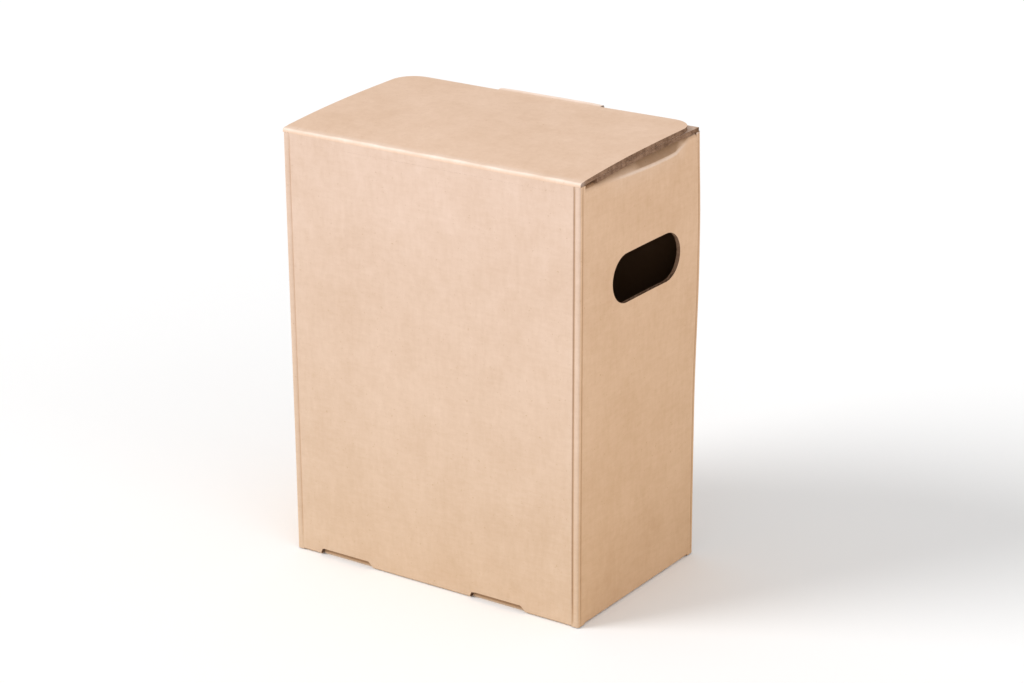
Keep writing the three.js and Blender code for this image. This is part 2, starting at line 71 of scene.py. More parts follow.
# %% [markdown]
# The camera comes first. It looks from the front right, a little down, with a long lens,
# as the photograph does. Its direction is given by two angles and a small roll.

# %% Camera
CAMERA_TURN = math.radians(34.473)
CAMERA_RISE = math.radians(20.487)
CAMERA_ROLL = math.radians(-0.367)
CAMERA_DISTANCE = 6.6471 * FRONT_HEIGHT
LOOK_FROM_FRONT_LEFT = Vector((0.4, 0.3, 0.5)) * FRONT_HEIGHT
AIM_ASIDE = 0.0078 * FRONT_HEIGHT
AIM_UP = 0.00803 * FRONT_HEIGHT
LENS = 104.64


def make_camera():
    back = Vector((math.sin(CAMERA_TURN) * math.cos(CAMERA_RISE),
                   -math.cos(CAMERA_TURN) * math.cos(CAMERA_RISE),
                   math.sin(CAMERA_RISE)))
    right = Vector((math.cos(CAMERA_TURN), math.sin(CAMERA_TURN), 0))
    up = back.cross(right)
    roll_right = math.cos(CAMERA_ROLL) * right + math.sin(CAMERA_ROLL) * up
    roll_up = -math.sin(CAMERA_ROLL) * right + math.cos(CAMERA_ROLL) * up
    middle = Vector((-SIDE, FRONT, 0)) + LOOK_FROM_FRONT_LEFT
    place = middle + CAMERA_DISTANCE * back - AIM_ASIDE * roll_right - AIM_UP * roll_up
    data = bpy.data.cameras.new("camera")
    data.lens = LENS
    data.sensor_width = 36
    camera = bpy.data.objects.new("camera", data)
    bpy.context.scene.collection.objects.link(camera)
    turn = Matrix((roll_right, roll_up, back)).transposed().to_4x4()
    camera.matrix_world = Matrix.Translation(place) @ turn
    bpy.context.scene.camera = camera
    return camera


camera = make_camera()
print("camera at", [round(v, 3) for v in camera.matrix_world.translation])

# %% [markdown]
# Sizes of the board, as on the real sheet. The fold radius is the outer face's.

# %% Board sizes
BOARD = 3.0 * MM
FOLD = 3.2 * MM
LAYER = 3.3 * MM
CORNER_END = 6 * MM
DUST_TOP = REAR_FLAP_TOP - LAYER
LID_TOP = REAR_FLAP_TOP + LAYER
FLUTE = 5.3 * MM
LID_RUN = 110 * MM

# Two places that are closer than this are the same one
NEAR = 1e-5


def smooth(value, start, stop):
    """0 before start, 1 after stop, and a soft step between them."""
    t = min(1.0, max(0.0, (value - start) / (stop - start)))
    return t * t * (3 - 2 * t)


def sag(y):
    """How far a top layer hangs below its level, at a place in the depth."""
    t = min(1.0, max(0.0, (y - FRONT) / LID_RUN))
    return (LID_TOP - FRONT_HEIGHT) * (1 - t) ** 2


def fold_path(corners, steps=6):
    """Points along a folded face. A corner [a, z, radius] becomes a round fold."""
    points = []
    for i, corner in enumerate(corners):
        here = Vector(corner[:2])
        if len(corner) < 3:
            points.append(here)
            continue
        arriving = (here - Vector(corners[i - 1][:2])).normalized()
        leaving = (Vector(corners[i + 1][:2]) - here).normalized()
        turn = math.atan2(arriving.x * leaving.y - arriving.y * leaving.x, arriving.dot(leaving))
        radius = corner[2]
        start = here - arriving * radius * math.tan(abs(turn) / 2)
        aside = Vector((-arriving.y, arriving.x)) * math.copysign(radius, turn)
        centre = start + aside
        for k in range(steps + 1):
            a = turn * k / steps
            arm = start - centre
            points.append(centre + Vector((arm.x * math.cos(a) - arm.y * math.sin(a),
                                           arm.x * math.sin(a) + arm.y * math.cos(a))))
    return points


# %% [markdown]
# Modelling helpers. Each one does in code what a hand would do in edit mode:
# pick vertices or edges by their place, then call the operator.

# %% Edit mode helpers
def start_piece(obj, name):
    obj.name = name
    obj.data.name = name
    bpy.ops.object.select_all(action="DESELECT")
    obj.select_set(True)
    bpy.context.view_layer.objects.active = obj
    bpy.ops.object.transform_apply(location=True, rotation=True, scale=True)
    return obj


def box_piece(name, low_corner, high_corner):
    """A cube at a given place and size, the usual start of a piece."""
    size = [h - l for l, h in zip(low_corner, high_corner)]
    middle = [(h + l) / 2 for l, h in zip(low_corner, high_corner)]
    bpy.ops.mesh.primitive_cube_add(size=1, location=middle)
    obj = bpy.context.active_object
    obj.scale = size
    return start_piece(obj, name)


def pick(obj, mode, test):
    """In edit mode, selects the vertices, edges or faces whose middle passes the test."""
    bpy.ops.mesh.select_mode(type=mode)
    bpy.ops.mesh.select_all(action="DESELECT")
    bm = bmesh.from_edit_mesh(obj.data)
    if mode == "VERT":
        for v in bm.verts:
            v.select = test(v.co, v)
    if mode == "EDGE":
        for e in bm.edges:
            e.select = test((e.verts[0].co + e.verts[1].co) / 2, e)
    if mode == "FACE":
        for f in bm.faces:
            f.select = test(f.calc_center_median(), f)
    bm.select_flush_mode()
    bmesh.update_edit_mesh(obj.data)


def slice_at(axis, values):
    """Cuts the mesh being edited with planes across an axis."""
    normal = [0, 0, 0]
    normal[axis] = 1
    for value in values:
        point = [0, 0, 0]
        point[axis] = value
        bpy.ops.mesh.select_all(action="SELECT")
        bpy.ops.mesh.bisect(plane_co=point, plane_no=normal)


def spread(start, stop, count):
    return [start + (stop - start) * k / count for k in range(count + 1)]


def extrude_rows(obj, test, rows):
    """Extrudes the picked edges once for each row, and puts each new vertex where the row says."""
    pick(obj, "EDGE", test)
    for row in rows:
        bpy.ops.mesh.extrude_region_move()
        bm = bmesh.from_edit_mesh(obj.data)
        for v in bm.verts:
            if v.select:
                v.co = row(v.co)
        bmesh.update_edit_mesh(obj.data)


# %% [markdown]
# The four walls start as a cube. Its upright edges are bevelled into corner folds, its
# top and bottom are taken off, and planes cut it into a grid fine enough to bulge.

# %% Walls
WALL_LOW = 8 * MM
WALL_HIGH = 304 * MM
FRONT_WALL_TOP = 318 * MM
CRISP = 1.8 * MM
WIDE_GROOVE = 5.2 * MM
NARROW_GROOVE = 3.2 * MM
GROOVE_HALF = 1.6 * MM
NARROW_GROOVE_SHARE = 0.55
TONGUE_MIDDLE = 1 * MM
TONGUE_HALF = 44 * MM
SLOT_HALF = TONGUE_HALF + 2 * MM
SLOT_FRONT = REAR - 9 * MM
SLOT_FOOT = LID_TOP - 13.9 * MM
SIDE_END_GAP = 8 * MM
FOLD_X = SIDE - CORNER_END
FOLD_Y = REAR - CORNER_END

walls = box_piece("carton_shell", (-SIDE, FRONT, WALL_LOW), (SIDE, REAR, WALL_HIGH))
bpy.ops.object.mode_set(mode="EDIT")
pick(walls, "EDGE", lambda m, e: abs(e.verts[0].co.z - e.verts[1].co.z) > 0.1)
bpy.ops.mesh.bevel(offset=CRISP, segments=6, profile=0.5, affect="EDGES")
pick(walls, "FACE", lambda m, f: abs(f.normal.z) > 0.9)
bpy.ops.mesh.delete(type="FACE")
groove_lines = [GROOVE_HALF, 0, -GROOVE_HALF]
for side in (-1, 1):
    slice_at(0, [side * (SIDE - WIDE_GROOVE + d) for d in groove_lines])
    slice_at(1, [side * (REAR - NARROW_GROOVE + d * NARROW_GROOVE_SHARE) for d in groove_lines])
slice_at(0, [-FOLD_X, FOLD_X, TONGUE_MIDDLE - SLOT_HALF, TONGUE_MIDDLE + SLOT_HALF])
slice_at(0, spread(-FOLD_X, FOLD_X, 26)[1:-1])
slice_at(1, [-FOLD_Y, FOLD_Y, -(REAR - SIDE_END_GAP), REAR - SIDE_END_GAP])
slice_at(1, spread(-FOLD_Y, FOLD_Y, 16)[1:-1])
slice_at(2, spread(WALL_LOW, WALL_HIGH, 33)[1:-1])
print("wall grid", len(bmesh.from_edit_mesh(walls.data).faces), "faces")


# %% [markdown]
# The flaps grow out of the walls' rims, row by row, as the sheet is folded on the machine.
# The dust flaps' fold is tight at both corners and a wide soft roll between them.

# %% Flaps at the top
ROLL_TIGHT = 2.2
ROLL_GROWTH = 6.6
ROLL_FRONT_RUN = 100 * MM
ROLL_REAR_START = 37 * MM
ROLL_REAR_END = 12 * MM
DUST_DROOP = 3.3 * MM
DUST_REACH = 70 * MM
REAR_FLAP_GAP = 20 * MM
FRONT_POST_TOP = FRONT_HEIGHT - BOARD - 0.05 * MM


def on_rim(e, z):
    return all(abs(v.co.z - z) < NEAR for v in e.verts) and e.is_boundary


def roll_height(y):
    """How high the dust flap's roll stands, at a place in the depth."""
    from_front = smooth(y, FRONT, FRONT + ROLL_FRONT_RUN)
    from_rear = smooth(-y, -(REAR - ROLL_REAR_END), -(REAR - ROLL_REAR_START))
    return (ROLL_TIGHT + ROLL_GROWTH * from_front * from_rear) * MM


def dust_level(y):
    """The dust flaps' top face, which droops towards the front."""
    return DUST_TOP - min(sag(y), DUST_DROOP)


def dust_path(y):
    level = dust_level(y)
    drop = roll_height(y)
    radius = FOLD + 0.9 * MM * smooth(drop, 3 * MM, 8 * MM)
    return fold_path([(SIDE, WALL_HIGH), (SIDE, level - drop, radius),
                      (SIDE - drop, level, radius), (SIDE - DUST_REACH, level)])[1:]


def dust_row(k, hand):
    def place(co):
        point = dust_path(co.y)[k]
        return Vector((hand * point.x, co.y, point.y))
    return place


for hand in (-1, 1):
    def dust_rim(m, e, hand=hand):
        return on_rim(e, WALL_HIGH) and hand * m.x > SIDE - 1e-4 and abs(m.y) < FOLD_Y
    extrude_rows(walls, dust_rim, [dust_row(k, hand) for k in range(len(dust_path(0)))])


def straight_up(z):
    return lambda co: Vector((co.x, co.y, z))


# Corner posts, front wall and rear wall go on straight up from the grid's rim
extrude_rows(walls, lambda m, e: on_rim(e, WALL_HIGH) and m.y < -FOLD_Y,
             [straight_up(FRONT_WALL_TOP)])
extrude_rows(walls, lambda m, e: on_rim(e, FRONT_WALL_TOP) and abs(m.x) > FOLD_X,
             [straight_up(FRONT_POST_TOP)])
extrude_rows(walls, lambda m, e: on_rim(e, WALL_HIGH) and m.y > FOLD_Y,
             [straight_up(SLOT_FOOT)])
extrude_rows(walls, lambda m, e: on_rim(e, SLOT_FOOT) and abs(m.x) > FOLD_X and m.y > FOLD_Y,
             [straight_up(DUST_TOP)])


def rear_path():
    """Up the rear wall, round its fold and forward along the rear flap to its free edge."""
    level = REAR_FLAP_TOP
    slope = [(y, level - sag(y)) for y in spread(FRONT + REAR_FLAP_GAP, FRONT + LID_RUN, 9)]
    flat = [(SLOT_FRONT, level), (SLOT_FRONT - 20 * MM, level)]
    return fold_path([(REAR, SLOT_FOOT), (REAR, level, FOLD)] + flat + slope[::-1])[1:]


def rear_row(point):
    return lambda co: Vector((co.x, point.x, point.y))


extrude_rows(walls, lambda m, e: on_rim(e, SLOT_FOOT) and abs(m.x) < FOLD_X and m.y > FOLD_Y,
             [rear_row(p) for p in rear_path()])
pick(walls, "FACE", lambda m, f: m.y > SLOT_FRONT and m.z > SLOT_FOOT
     and abs(m.x - TONGUE_MIDDLE) < SLOT_HALF)
bpy.ops.mesh.delete(type="FACE")


def rear_flap_edge(hand):
    """Picks the rear flap's long edge on one side, which then reaches out to the carton's side."""
    def test(m, e):
        on_flap = m.z > REAR_FLAP_TOP - 3.6 * MM and FRONT + 19 * MM < m.y < REAR - 2.2 * MM
        on_edge = all(abs(hand * v.co.x - FOLD_X) < NEAR for v in e.verts)
        return e.is_boundary and on_flap and on_edge
    return test


for hand in (-1, 1):
    extrude_rows(walls, rear_flap_edge(hand), [lambda co, hand=hand: Vector((hand * SIDE, co.y, co.z))])
print("with top flaps", len(bmesh.from_edit_mesh(walls.data).faces), "faces")

# %% [markdown]
# The bottom flaps climb over each other in order: locking flap outside, then the front
# flap, then both side flaps. Each is narrower than its fold where another one passes.

# %% Flaps at the bottom
LOCK_FRONT = FRONT + 18 * MM
SIDE_RAMP = 20 * MM
FRONT_RAMP = 16 * MM
SIDE_FLAP_REACH = 70 * MM
FRONT_FLAP_REACH = 80 * MM
FRONT_FLAP_HALF = 102 * MM
LOCK_FLAP_HALF = 111 * MM
FLAP_NECK = 7 * MM
CORNER_FOOT = 0.6 * MM


def bottom_path(wall, ramp, level, reach, hand):
    """From a wall at distance `wall` from the middle, down, round its fold and in under the box."""
    return fold_path([(hand * wall, WALL_LOW), (hand * wall, 0, CRISP),
                      (hand * (wall - ramp), level, FOLD), (hand * (wall - reach), level)])[1:]


def side_bottom_rows(hand):
    points = bottom_path(SIDE, SIDE_RAMP, 2 * LAYER, SIDE_FLAP_REACH, hand)
    return [lambda co, p=p: Vector((p.x, co.y, p.y)) for p in points]


def depth_rows(points, half_width):
    """Rows for the front or locking flap, which narrows to half_width past its neck."""
    def row(p):
        limit = half_width if abs(p.x) < REAR - FLAP_NECK else FOLD_X
        return lambda co: Vector((max(-limit, min(limit, co.x)), p.x, p.y))
    return [row(p) for p in points]


for hand in (-1, 1):
    def side_rim(m, e, hand=hand):
        return on_rim(e, WALL_LOW) and hand * m.x > SIDE - 1e-4 and abs(m.y) < REAR - SIDE_END_GAP
    extrude_rows(walls, side_rim, side_bottom_rows(hand))

front_points = bottom_path(REAR, FRONT_RAMP, LAYER, FRONT_FLAP_REACH, -1)
extrude_rows(walls, lambda m, e: on_rim(e, WALL_LOW) and m.y < -FOLD_Y and abs(m.x) < FOLD_X,
             depth_rows(front_points, FRONT_FLAP_HALF))
lock_points = fold_path([(REAR, WALL_LOW), (REAR, 0, CRISP), (LOCK_FRONT, 0)])[1:]
lock_points.insert(-1, Vector((REAR - 8 * MM, 0)))
extrude_rows(walls, lambda m, e: on_rim(e, WALL_LOW) and m.y > FOLD_Y and abs(m.x) < FOLD_X,
             depth_rows(lock_points, LOCK_FLAP_HALF))
extrude_rows(walls, lambda m, e: on_rim(e, WALL_LOW), [straight_up(CORNER_FOOT)])

# The two slots are cut out of the flat sheet, across the front wall's foot and its fold.
# Their upper corners lean inwards, the left one also a little down.
SLOT_MIDDLES = [-79.4 * MM, 55.6 * MM]
SLOT_WIDTH = 47.2 * MM
SLOT_HEIGHT = 5.2 * MM
SLOT_DEPTH = 16.5 * MM
SLOT_LEFT_LEAN = (1.2 * MM, 0, -0.6 * MM)
SLOT_RIGHT_LEAN = (-3.5 * MM, 0, 0)
slice_at(2, [SLOT_HEIGHT])
slice_at(1, [FRONT + SLOT_DEPTH])
for middle in SLOT_MIDDLES:
    slot_ends = [middle - SLOT_WIDTH / 2, middle + SLOT_WIDTH / 2]
    slice_at(0, slot_ends)
    pick(walls, "FACE", lambda m, f: slot_ends[0] < m.x < slot_ends[1] and m.z < SLOT_HEIGHT
         and m.y < FRONT + SLOT_DEPTH)
    bpy.ops.mesh.delete(type="FACE")
    for x, lean in ((slot_ends[1], SLOT_RIGHT_LEAN), (slot_ends[0], SLOT_LEFT_LEAN)):
        corner = Vector((x, FRONT, SLOT_HEIGHT))
        pick(walls, "VERT", lambda co, v: (co - corner).length < 0.1 * MM)
        bpy.ops.transform.translate(value=lean)
bpy.ops.mesh.select_all(action="SELECT")
bpy.ops.mesh.remove_doubles(threshold=0.02 * MM)
bpy.ops.mesh.dissolve_degenerate(threshold=0.02 * MM)
bpy.ops.object.mode_set(mode="OBJECT")
print("folded sheet", len(walls.data.polygons), "faces")

# %% [markdown]
# Real walls are never flat. The grid's vertices are moved out a little, most in the middle
# of a wall, and the crushed line beside each corner fold is pressed in.

# %% Soft walls
BULGE_WIDE = 0.8 * MM
BULGE_NARROW = 1.0 * MM
CORNER_LEAN = 1.7 * MM
GROOVE = 0.7 * MM
FLARE = 1.1 * MM
TILT = 0.9 * MM
DARK_LINE = 0.85
FAINT_LINE = 0.2


def on_wide_groove(co):
    """True on the middle line of a crushed line beside a corner fold, on a wide wall."""
    return abs(abs(co.x) - (SIDE - WIDE_GROOVE)) < NEAR and abs(abs(co.y) - REAR) < NEAR


def on_narrow_groove(co):
    return abs(abs(co.y) - (REAR - NARROW_GROOVE)) < NEAR and abs(abs(co.x) - SIDE) < NEAR


def sheet_lean(co):
    """The whole carton opens a little towards its top and stands a little higher on the right."""
    wider = FLARE * smooth(co.z, 40 * MM, 320 * MM)
    return co + Vector((wider * co.x / SIDE, 0, TILT * smooth(co.z, 240 * MM, 325 * MM) * co.x / SIDE))


def paint(obj, name, value):
    """Stores a number on every vertex, for the material to read."""
    layer = obj.data.attributes.new(name, "FLOAT", "POINT")
    for v, item in zip(obj.data.vertices, layer.data):
        item.value = value(v.co)


def crest(co):
    """1 on the dust flaps' roll crest, where a highlight is painted, 0 away from it."""
    if abs(co.y) >= FOLD_Y:
        return 0
    drop = roll_height(co.y)
    away = math.hypot(abs(co.x) - SIDE, co.z - (dust_level(co.y) - drop))
    return 0.7 * smooth(drop, 3.5 * MM, 7 * MM) * max(0, 1 - away / (1.9 * MM))


def groove_shade(co):
    """How much shade is painted on the sheet: dark on the crushed lines at the right, faint at the left, and
    dark on the dust flaps' roll under the rear flap.
    """
    if on_wide_groove(co) or on_narrow_groove(co):
        if co.z <= 3 * MM:
            return 0
        return DARK_LINE if co.x > 0 else FAINT_LINE
    past_crest = co.z > dust_level(co.y) - roll_height(co.y) + 1.2 * MM
    slope = abs(co.x) > SIDE - 30 * MM and abs(co.y) < FOLD_Y and past_crest
    return DARK_LINE if slope and WALL_HIGH < co.z < DUST_TOP + NEAR else 0


def wall_shape(co):
    """Where a point of the flat walls comes to lie on the used carton."""
    x, y, z = co
    up = math.sin(math.pi * min(1, max(0, z / FRONT_HEIGHT)))
    out = Vector((0, 0, 0))
    if z > 5 * MM and z < 319 * MM:
        if abs(abs(y) - REAR) < 4 * MM:
            out.y += math.copysign(BULGE_WIDE * up * (1 - (x / SIDE) ** 2), y)
        if abs(abs(x) - SIDE) < 4 * MM:
            out.x += math.copysign(BULGE_NARROW * up * (1 - (y / REAR) ** 2), x)
        band = smooth(z, 120 * MM, 230 * MM) * smooth(-z, -330 * MM, -255 * MM)
        near_rear = smooth(y, 0, REAR) * smooth(abs(x), SIDE - 50 * MM, SIDE)
        out.x += math.copysign(CORNER_LEAN * band * near_rear, x)
        fade = smooth(z, 5 * MM, 14 * MM)
        if on_wide_groove(co):
            out.y -= math.copysign(GROOVE * fade, y)
        if on_narrow_groove(co):
            out.x -= math.copysign(GROOVE * fade, x)
    return sheet_lean(co + out)


def shape_by(obj, shape):
    for v in obj.data.vertices:
        v.co = shape(v.co.copy())


# A painted highlight on the dust flaps' roll crest
paint(walls, "wear", crest)
# Painted shade in the crushed lines and on the dust flaps' roll under the rear flap
paint(walls, "shade", groove_shade)
shape_by(walls, wall_shape)
print("walls shaped", len(walls.data.vertices), "vertices")

# %% [markdown]
# The sheet gets its thickness from Solidify, inwards from the outer paper. The rim it
# makes is the cut edge of the board, so it takes the second material slot.

# %% Board thickness and cuts
LINER_SLOT = 0
EDGE_SLOT = 1
INSIDE_SLOT = 2
WALL_PAPER_SLOT = 3
materials = {}
for name in ("kraft_board", "raw_edge", "kraft_inside", "kraft_lid", "lid_inside"):
    materials[name] = bpy.data.materials.new(name)


def dress(obj, outer="kraft_board"):
    obj.data.materials.clear()
    inside = "lid_inside" if outer == "kraft_lid" else "kraft_inside"
    for name in (outer, "raw_edge", inside):
        obj.data.materials.append(materials[name])


def choose(obj):
    bpy.ops.object.select_all(action="DESELECT")
    obj.select_set(True)
    bpy.context.view_layer.objects.active = obj


def thicken(obj, facing, outer="kraft_board"):
    """Gives the sheet its board. The face that lies furthest towards `facing` looks that way."""
    choose(obj)
    bpy.ops.object.mode_set(mode="EDIT")
    bpy.ops.mesh.select_all(action="SELECT")
    bpy.ops.mesh.normals_make_consistent(inside=False)
    bpy.ops.object.mode_set(mode="OBJECT")
    square_on = [f for f in obj.data.polygons if abs(f.normal.dot(facing)) > 0.9]
    outermost = max(square_on, key=lambda f: f.center.dot(facing))
    if outermost.normal.dot(facing) < 0:
        obj.data.flip_normals()
    dress(obj, outer)
    solid = obj.modifiers.new("board", "SOLIDIFY")
    solid.thickness = BOARD
    solid.offset = -1
    solid.use_even_offset = True
    solid.material_offset = INSIDE_SLOT
    solid.material_offset_rim = EDGE_SLOT
    bpy.ops.object.modifier_apply(modifier=solid.name)


def cut_with(obj, cutter):
    dress(cutter)
    for face in cutter.data.polygons:
        face.material_index = EDGE_SLOT
    choose(obj)
    boolean = obj.modifiers.new("cut", "BOOLEAN")
    boolean.operation = "DIFFERENCE"
    boolean.solver = "EXACT"
    boolean.object = cutter
    bpy.ops.object.modifier_apply(modifier=boolean.name)
    bpy.data.objects.remove(cutter)


thicken(walls, Vector((1, 0, 0)))
print("walls thick", len(walls.data.polygons), "faces")

# %% Hand holes
HOLE_LENGTH = 87 * MM
HOLE_HEIGHT = 36 * MM
HOLE_Y = FRONT + 83.5 * MM
HOLE_Z = FRONT_HEIGHT - 82 * MM

hole = box_piece("hand_hole_cutter", (-SIDE - 9 * MM, HOLE_Y - HOLE_LENGTH / 2, HOLE_Z - HOLE_HEIGHT / 2),
                 (SIDE + 9 * MM, HOLE_Y + HOLE_LENGTH / 2, HOLE_Z + HOLE_HEIGHT / 2))
bpy.ops.object.mode_set(mode="EDIT")
pick(hole, "EDGE", lambda m, e: abs(e.verts[0].co.x - e.verts[1].co.x) > 0.1)
bpy.ops.mesh.bevel(offset=HOLE_HEIGHT / 2 - 0.02 * MM, segments=14, profile=0.5, affect="EDGES")
bpy.ops.object.mode_set(mode="OBJECT")
cut_with(walls, hole)

# %% [markdown]
# At a cut across the flutes the wavy inner paper shows. One open flute is a small arch,
# drawn once, and copied along the cut, turned over at every other place.

# %% Open flutes
LINER = 0.45 * MM
FLUTE_ROOM = BOARD - 2 * LINER - 0.35 * MM
FLUTE_ARCH = [(-0.4, 0), (0.4, 0), (0.3, 0.42), (0.17, 0.82), (0, 1), (-0.17, 0.82), (-0.3, 0.42)]
FLUTE_SHOWN = 5 * MM


def flute_cutter(name, places):
    """One cutter for many flutes. A place is (frame, along, from_outer, start, stop)."""
    parts = []
    for at, along, from_outer, start, stop in places:
        bpy.ops.mesh.primitive_circle_add(vertices=len(FLUTE_ARCH), radius=1, fill_type="NGON")
        part = bpy.context.active_object
        for v, (a, d) in zip(part.data.vertices, FLUTE_ARCH):
            depth = LINER + d * FLUTE_ROOM if from_outer else BOARD - LINER - d * FLUTE_ROOM
            v.co = at(along + a * FLUTE, depth, start)
        bpy.ops.object.mode_set(mode="EDIT")
        bpy.ops.mesh.select_all(action="SELECT")
        far = at(along, 0, stop) - at(along, 0, start)
        bpy.ops.mesh.extrude_region_move(TRANSFORM_OT_translate={"value": far})
        bpy.ops.mesh.select_all(action="SELECT")
        bpy.ops.mesh.normals_make_consistent(inside=False)
        bpy.ops.object.mode_set(mode="OBJECT")
        parts.append(part)
    bpy.ops.object.select_all(action="DESELECT")
    for part in parts:
        part.select_set(True)
    bpy.context.view_layer.objects.active = parts[0]
    bpy.ops.object.join()
    parts[0].name = name
    return parts[0]


def hole_flutes(hand):
    places = []
    half = HOLE_LENGTH / 2 - HOLE_HEIGHT / 2
    reach = HOLE_LENGTH / 2 - FLUTE
    count = int(2 * reach / (FLUTE / 2))
    for k in range(count + 1):
        y = HOLE_Y - reach + k * FLUTE / 2
        out = max(0, abs(y - HOLE_Y) + FLUTE / 2 - half)
        up = math.sqrt(max(0, (HOLE_HEIGHT / 2) ** 2 - out ** 2)) + FLUTE_SHOWN
        skin = wall_shape(Vector((hand * SIDE, y, HOLE_Z))).x

        def at(along, depth, z, skin=skin):
            return Vector((skin - hand * depth, along, z))
        places.append((at, y, k % 2 == 0, HOLE_Z - up, HOLE_Z + up))
    return places


for hand in (-1, 1):
    cut_with(walls, flute_cutter("hole_flutes", hole_flutes(hand)))
print("walls cut", len(walls.data.polygons), "faces")

# %% [markdown]
# The tap's push-out panel in the rear wall is a ring of cuts with board left between
# them. Each cut is a short arc: a thin straight block that is bent round the middle.

# %% Tap panel
TAP_RADIUS = 21 * MM
TAP_Z = 42 * MM
TAP_CUTS = 8
TAP_HALF_CUT = 6.6 * MM
TAP_HALF_SLIT = 0.4 * MM
TAP_PAST = 5 * MM
for k in range(TAP_CUTS):
    cutter = box_piece("tap_cutter", (-TAP_HALF_CUT, REAR - TAP_PAST, TAP_RADIUS - TAP_HALF_SLIT),
                       (TAP_HALF_CUT, REAR + TAP_PAST, TAP_RADIUS + TAP_HALF_SLIT))
    bpy.ops.object.mode_set(mode="EDIT")
    slice_at(0, spread(-TAP_HALF_CUT, TAP_HALF_CUT, 6)[1:-1])
    bpy.ops.object.mode_set(mode="OBJECT")
    start = math.radians(360 / TAP_CUTS * k)
    for v in cutter.data.vertices:
        turn = start + v.co.x / TAP_RADIUS
        radius = v.co.z
        v.co = Vector((radius * math.cos(turn), v.co.y, TAP_Z + radius * math.sin(turn)))
    cutter.data.flip_normals()
    cut_with(walls, cutter)

# %% [markdown]
# A locking tab reaches forward from the locking flap, passes its slot and stands up
# behind the front wall. One function makes both.

# %% Locking tabs
TAB_BACK = FRONT + LAYER
TAB_HALF = 22.8 * MM
TAB_HEIGHT = 18 * MM
TAB_TAPER = 0.18
TAB_START = 2 * MM
tab_points = fold_path([(LOCK_FRONT + 3 * MM, 0), (FRONT + 2.2 * MM, 0, 1.6 * MM),
                        (TAB_BACK, SLOT_HEIGHT, 2 * MM), (TAB_BACK, TAB_HEIGHT)])


def make_tab(middle, name):
    bpy.ops.mesh.primitive_plane_add(size=1)
    tab = start_piece(bpy.context.active_object, name)
    for v in tab.data.vertices:
        y = tab_points[0].x if v.co.y > 0 else tab_points[0].x - TAB_START
        v.co = Vector((middle + TAB_HALF * (1 if v.co.x > 0 else -1), y, 0))
    bpy.ops.object.mode_set(mode="EDIT")
    slice_at(0, spread(middle - TAB_HALF, middle + TAB_HALF, 6)[1:-1])

    def row(p):
        taper = 1 - TAB_TAPER * smooth(p.y, 0, TAB_HEIGHT)
        return lambda co: Vector((middle + (co.x - middle) * taper, p.x, p.y))
    extrude_rows(tab, lambda m, e: e.is_boundary and m.y < tab_points[0].x - 1.9 * MM,
                 [row(p) for p in tab_points[1:]])
    bpy.ops.object.mode_set(mode="OBJECT")
    # Painted shade on the tab's upright part, which stands in the dark behind its slot
    paint(tab, "shade", lambda co: 1.25 * smooth(co.z, 0.8 * MM, 2.6 * MM))
    thicken(tab, Vector((0, -1, 0)))
    return tab


tabs = [make_tab(middle, "lock_tab_" + side) for middle, side in zip(SLOT_MIDDLES, ("left", "right"))]
print("tabs", [len(t.data.polygons) for t in tabs])

# %% [markdown]
# The lid is a plane with two round corners. Its tongue is extruded from the rear edge,
# arches over, and goes down into its slot.

# %% Lid
LID_REAR = REAR - 5.5 * MM
LID_START = FRONT + 12 * MM
LID_CORNER = 18 * MM
TONGUE_INSIDE = REAR - 5 * MM
TONGUE_TIP = LID_TOP - 21 * MM
TONGUE_TAPER = 0.14


def lid_lift(x, y):
    """The lid's height: it climbs from its fold, and its rear corners curl up a little."""
    rear = smooth(y, 0, LID_REAR)
    right = smooth(x, 0, SIDE)
    left = smooth(-x, 20 * MM, SIDE)
    return LID_TOP - sag(y) + rear * (0.5 * right + 0.3 * left) * MM


bpy.ops.mesh.primitive_plane_add(size=1)
lid = start_piece(bpy.context.active_object, "lid_panel")
for v in lid.data.vertices:
    v.co = Vector((SIDE if v.co.x > 0 else -SIDE, LID_REAR if v.co.y > 0 else LID_START, 0))
bpy.ops.object.mode_set(mode="EDIT")
pick(lid, "VERT", lambda co, v: co.y > 0)
bpy.ops.mesh.bevel(offset=LID_CORNER, segments=9, affect="VERTICES", profile=0.5)
tongue_left = TONGUE_MIDDLE - TONGUE_HALF
tongue_right = TONGUE_MIDDLE + TONGUE_HALF
slice_at(0, [tongue_left, tongue_right, -FOLD_X, FOLD_X])
slice_at(0, spread(-SIDE, SIDE, 28)[1:-1])
slice_at(1, spread(LID_START, LID_REAR, 16)[1:-1])
bm = bmesh.from_edit_mesh(lid.data)
for v in bm.verts:
    v.co.z = lid_lift(v.co.x, v.co.y)
tongue_points = fold_path([(LID_REAR, LID_TOP + 0.2 * MM),
                           (REAR + 2.2 * MM, LID_TOP + 2.6 * MM, 2.7 * MM),
                           (TONGUE_INSIDE, SLOT_FOOT, FOLD), (TONGUE_INSIDE, TONGUE_TIP)], 8)[1:]


def tongue_row(p):
    taper = 1 - TONGUE_TAPER * smooth(-p.y, -(LID_TOP - 6 * MM), -TONGUE_TIP)

    def place(co):
        x = TONGUE_MIDDLE + (co.x - TONGUE_MIDDLE) * taper
        ends = smooth(abs(co.x - TONGUE_MIDDLE), TONGUE_HALF - 10 * MM, TONGUE_HALF)
        over = max(0, p.y - LID_TOP)
        return Vector((x, p.x, p.y - 0.6 * over * ends))
    return place


extrude_rows(lid, lambda m, e: e.is_boundary and m.y > LID_REAR - NEAR
             and tongue_left < m.x < tongue_right, [tongue_row(p) for p in tongue_points])
bpy.ops.object.mode_set(mode="OBJECT")
# A painted highlight on the tongue's bend, past the lid's rear edge
paint(lid, "wear", lambda co: 0.75 * smooth(co.y, LID_REAR - 0.5 * MM, LID_REAR + 2 * MM))
shape_by(lid, sheet_lean)
thicken(lid, Vector((0, 0, 1)), "kraft_lid")


